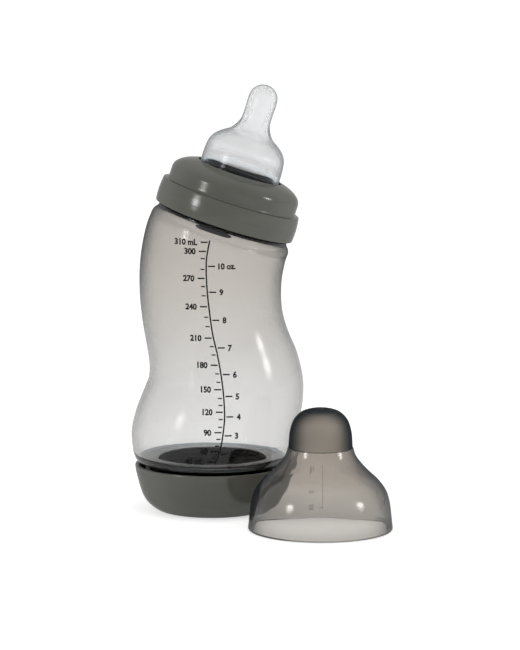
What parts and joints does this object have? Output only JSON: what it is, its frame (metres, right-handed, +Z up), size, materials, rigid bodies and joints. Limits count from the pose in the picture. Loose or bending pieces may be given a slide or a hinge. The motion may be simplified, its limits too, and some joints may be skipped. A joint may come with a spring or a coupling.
{
  "type": "feeding bottle",
  "caption": "Feeding bottle with an S-bent translucent body, screw-on vented base, screw ring, soft teat and a separate bell-shaped protective cap.",
  "frame": {"origin": "centre of the base's foot ring, on the surface it stands on", "axes": "+Z up along the base axis, +X towards the side the upper neck leans to, -Y towards the printed front"},
  "size_m": [0.1078, 0.1075, 0.1774],
  "materials": {
    "olive_plastic": "satin",
    "smoky_body": "translucent gloss",
    "smoky_cap": "translucent gloss",
    "clear_silicone": "frosted silicone",
    "valve_silicone": "frosted silicone"
  },
  "bodies": {
    "base": {"base_cup": "olive_plastic"},
    "valve": {"valve_disc": "valve_silicone"},
    "bottle": {"bottle_body": "smoky_body"},
    "teat": {"teat": "clear_silicone"},
    "ring": {"screw_ring": "olive_plastic"},
    "cap": {"protective_cap": "smoky_cap"}
  },
  "joints": [
    {"name": "base_screw", "type": "hinge", "parent": "base", "child": "valve", "pos_m": [0, 0, 0], "axis": [0, 0, 1], "range_deg": [0, 720]},
    {"name": "base_lift", "type": "slide", "parent": "valve", "child": "bottle", "axis": [0, 0, 1], "range_m": [0, 0.0084]},
    {"name": "ring_lift", "type": "slide", "parent": "bottle", "child": "teat", "axis": [0.3057, 0, 0.9521], "range_m": [0, 0.0084]},
    {"name": "ring_screw", "type": "hinge", "parent": "teat", "child": "ring", "pos_m": [0.0048, 0, 0.12097], "axis": [0.3057, 0, 0.9521], "range_deg": [0, 720]},
    {"name": "cap_lift", "type": "slide", "parent": "base", "child": "cap", "axis": [0.5, -0.5, 0.7071], "range_m": [0, 0.1]}
  ],
  "couplings": [
    {"joint": "base_lift", "follows": "base_screw", "m_per_rad": 0.00066845},
    {"joint": "ring_lift", "follows": "ring_screw", "m_per_rad": 0.00066845}
  ]
}
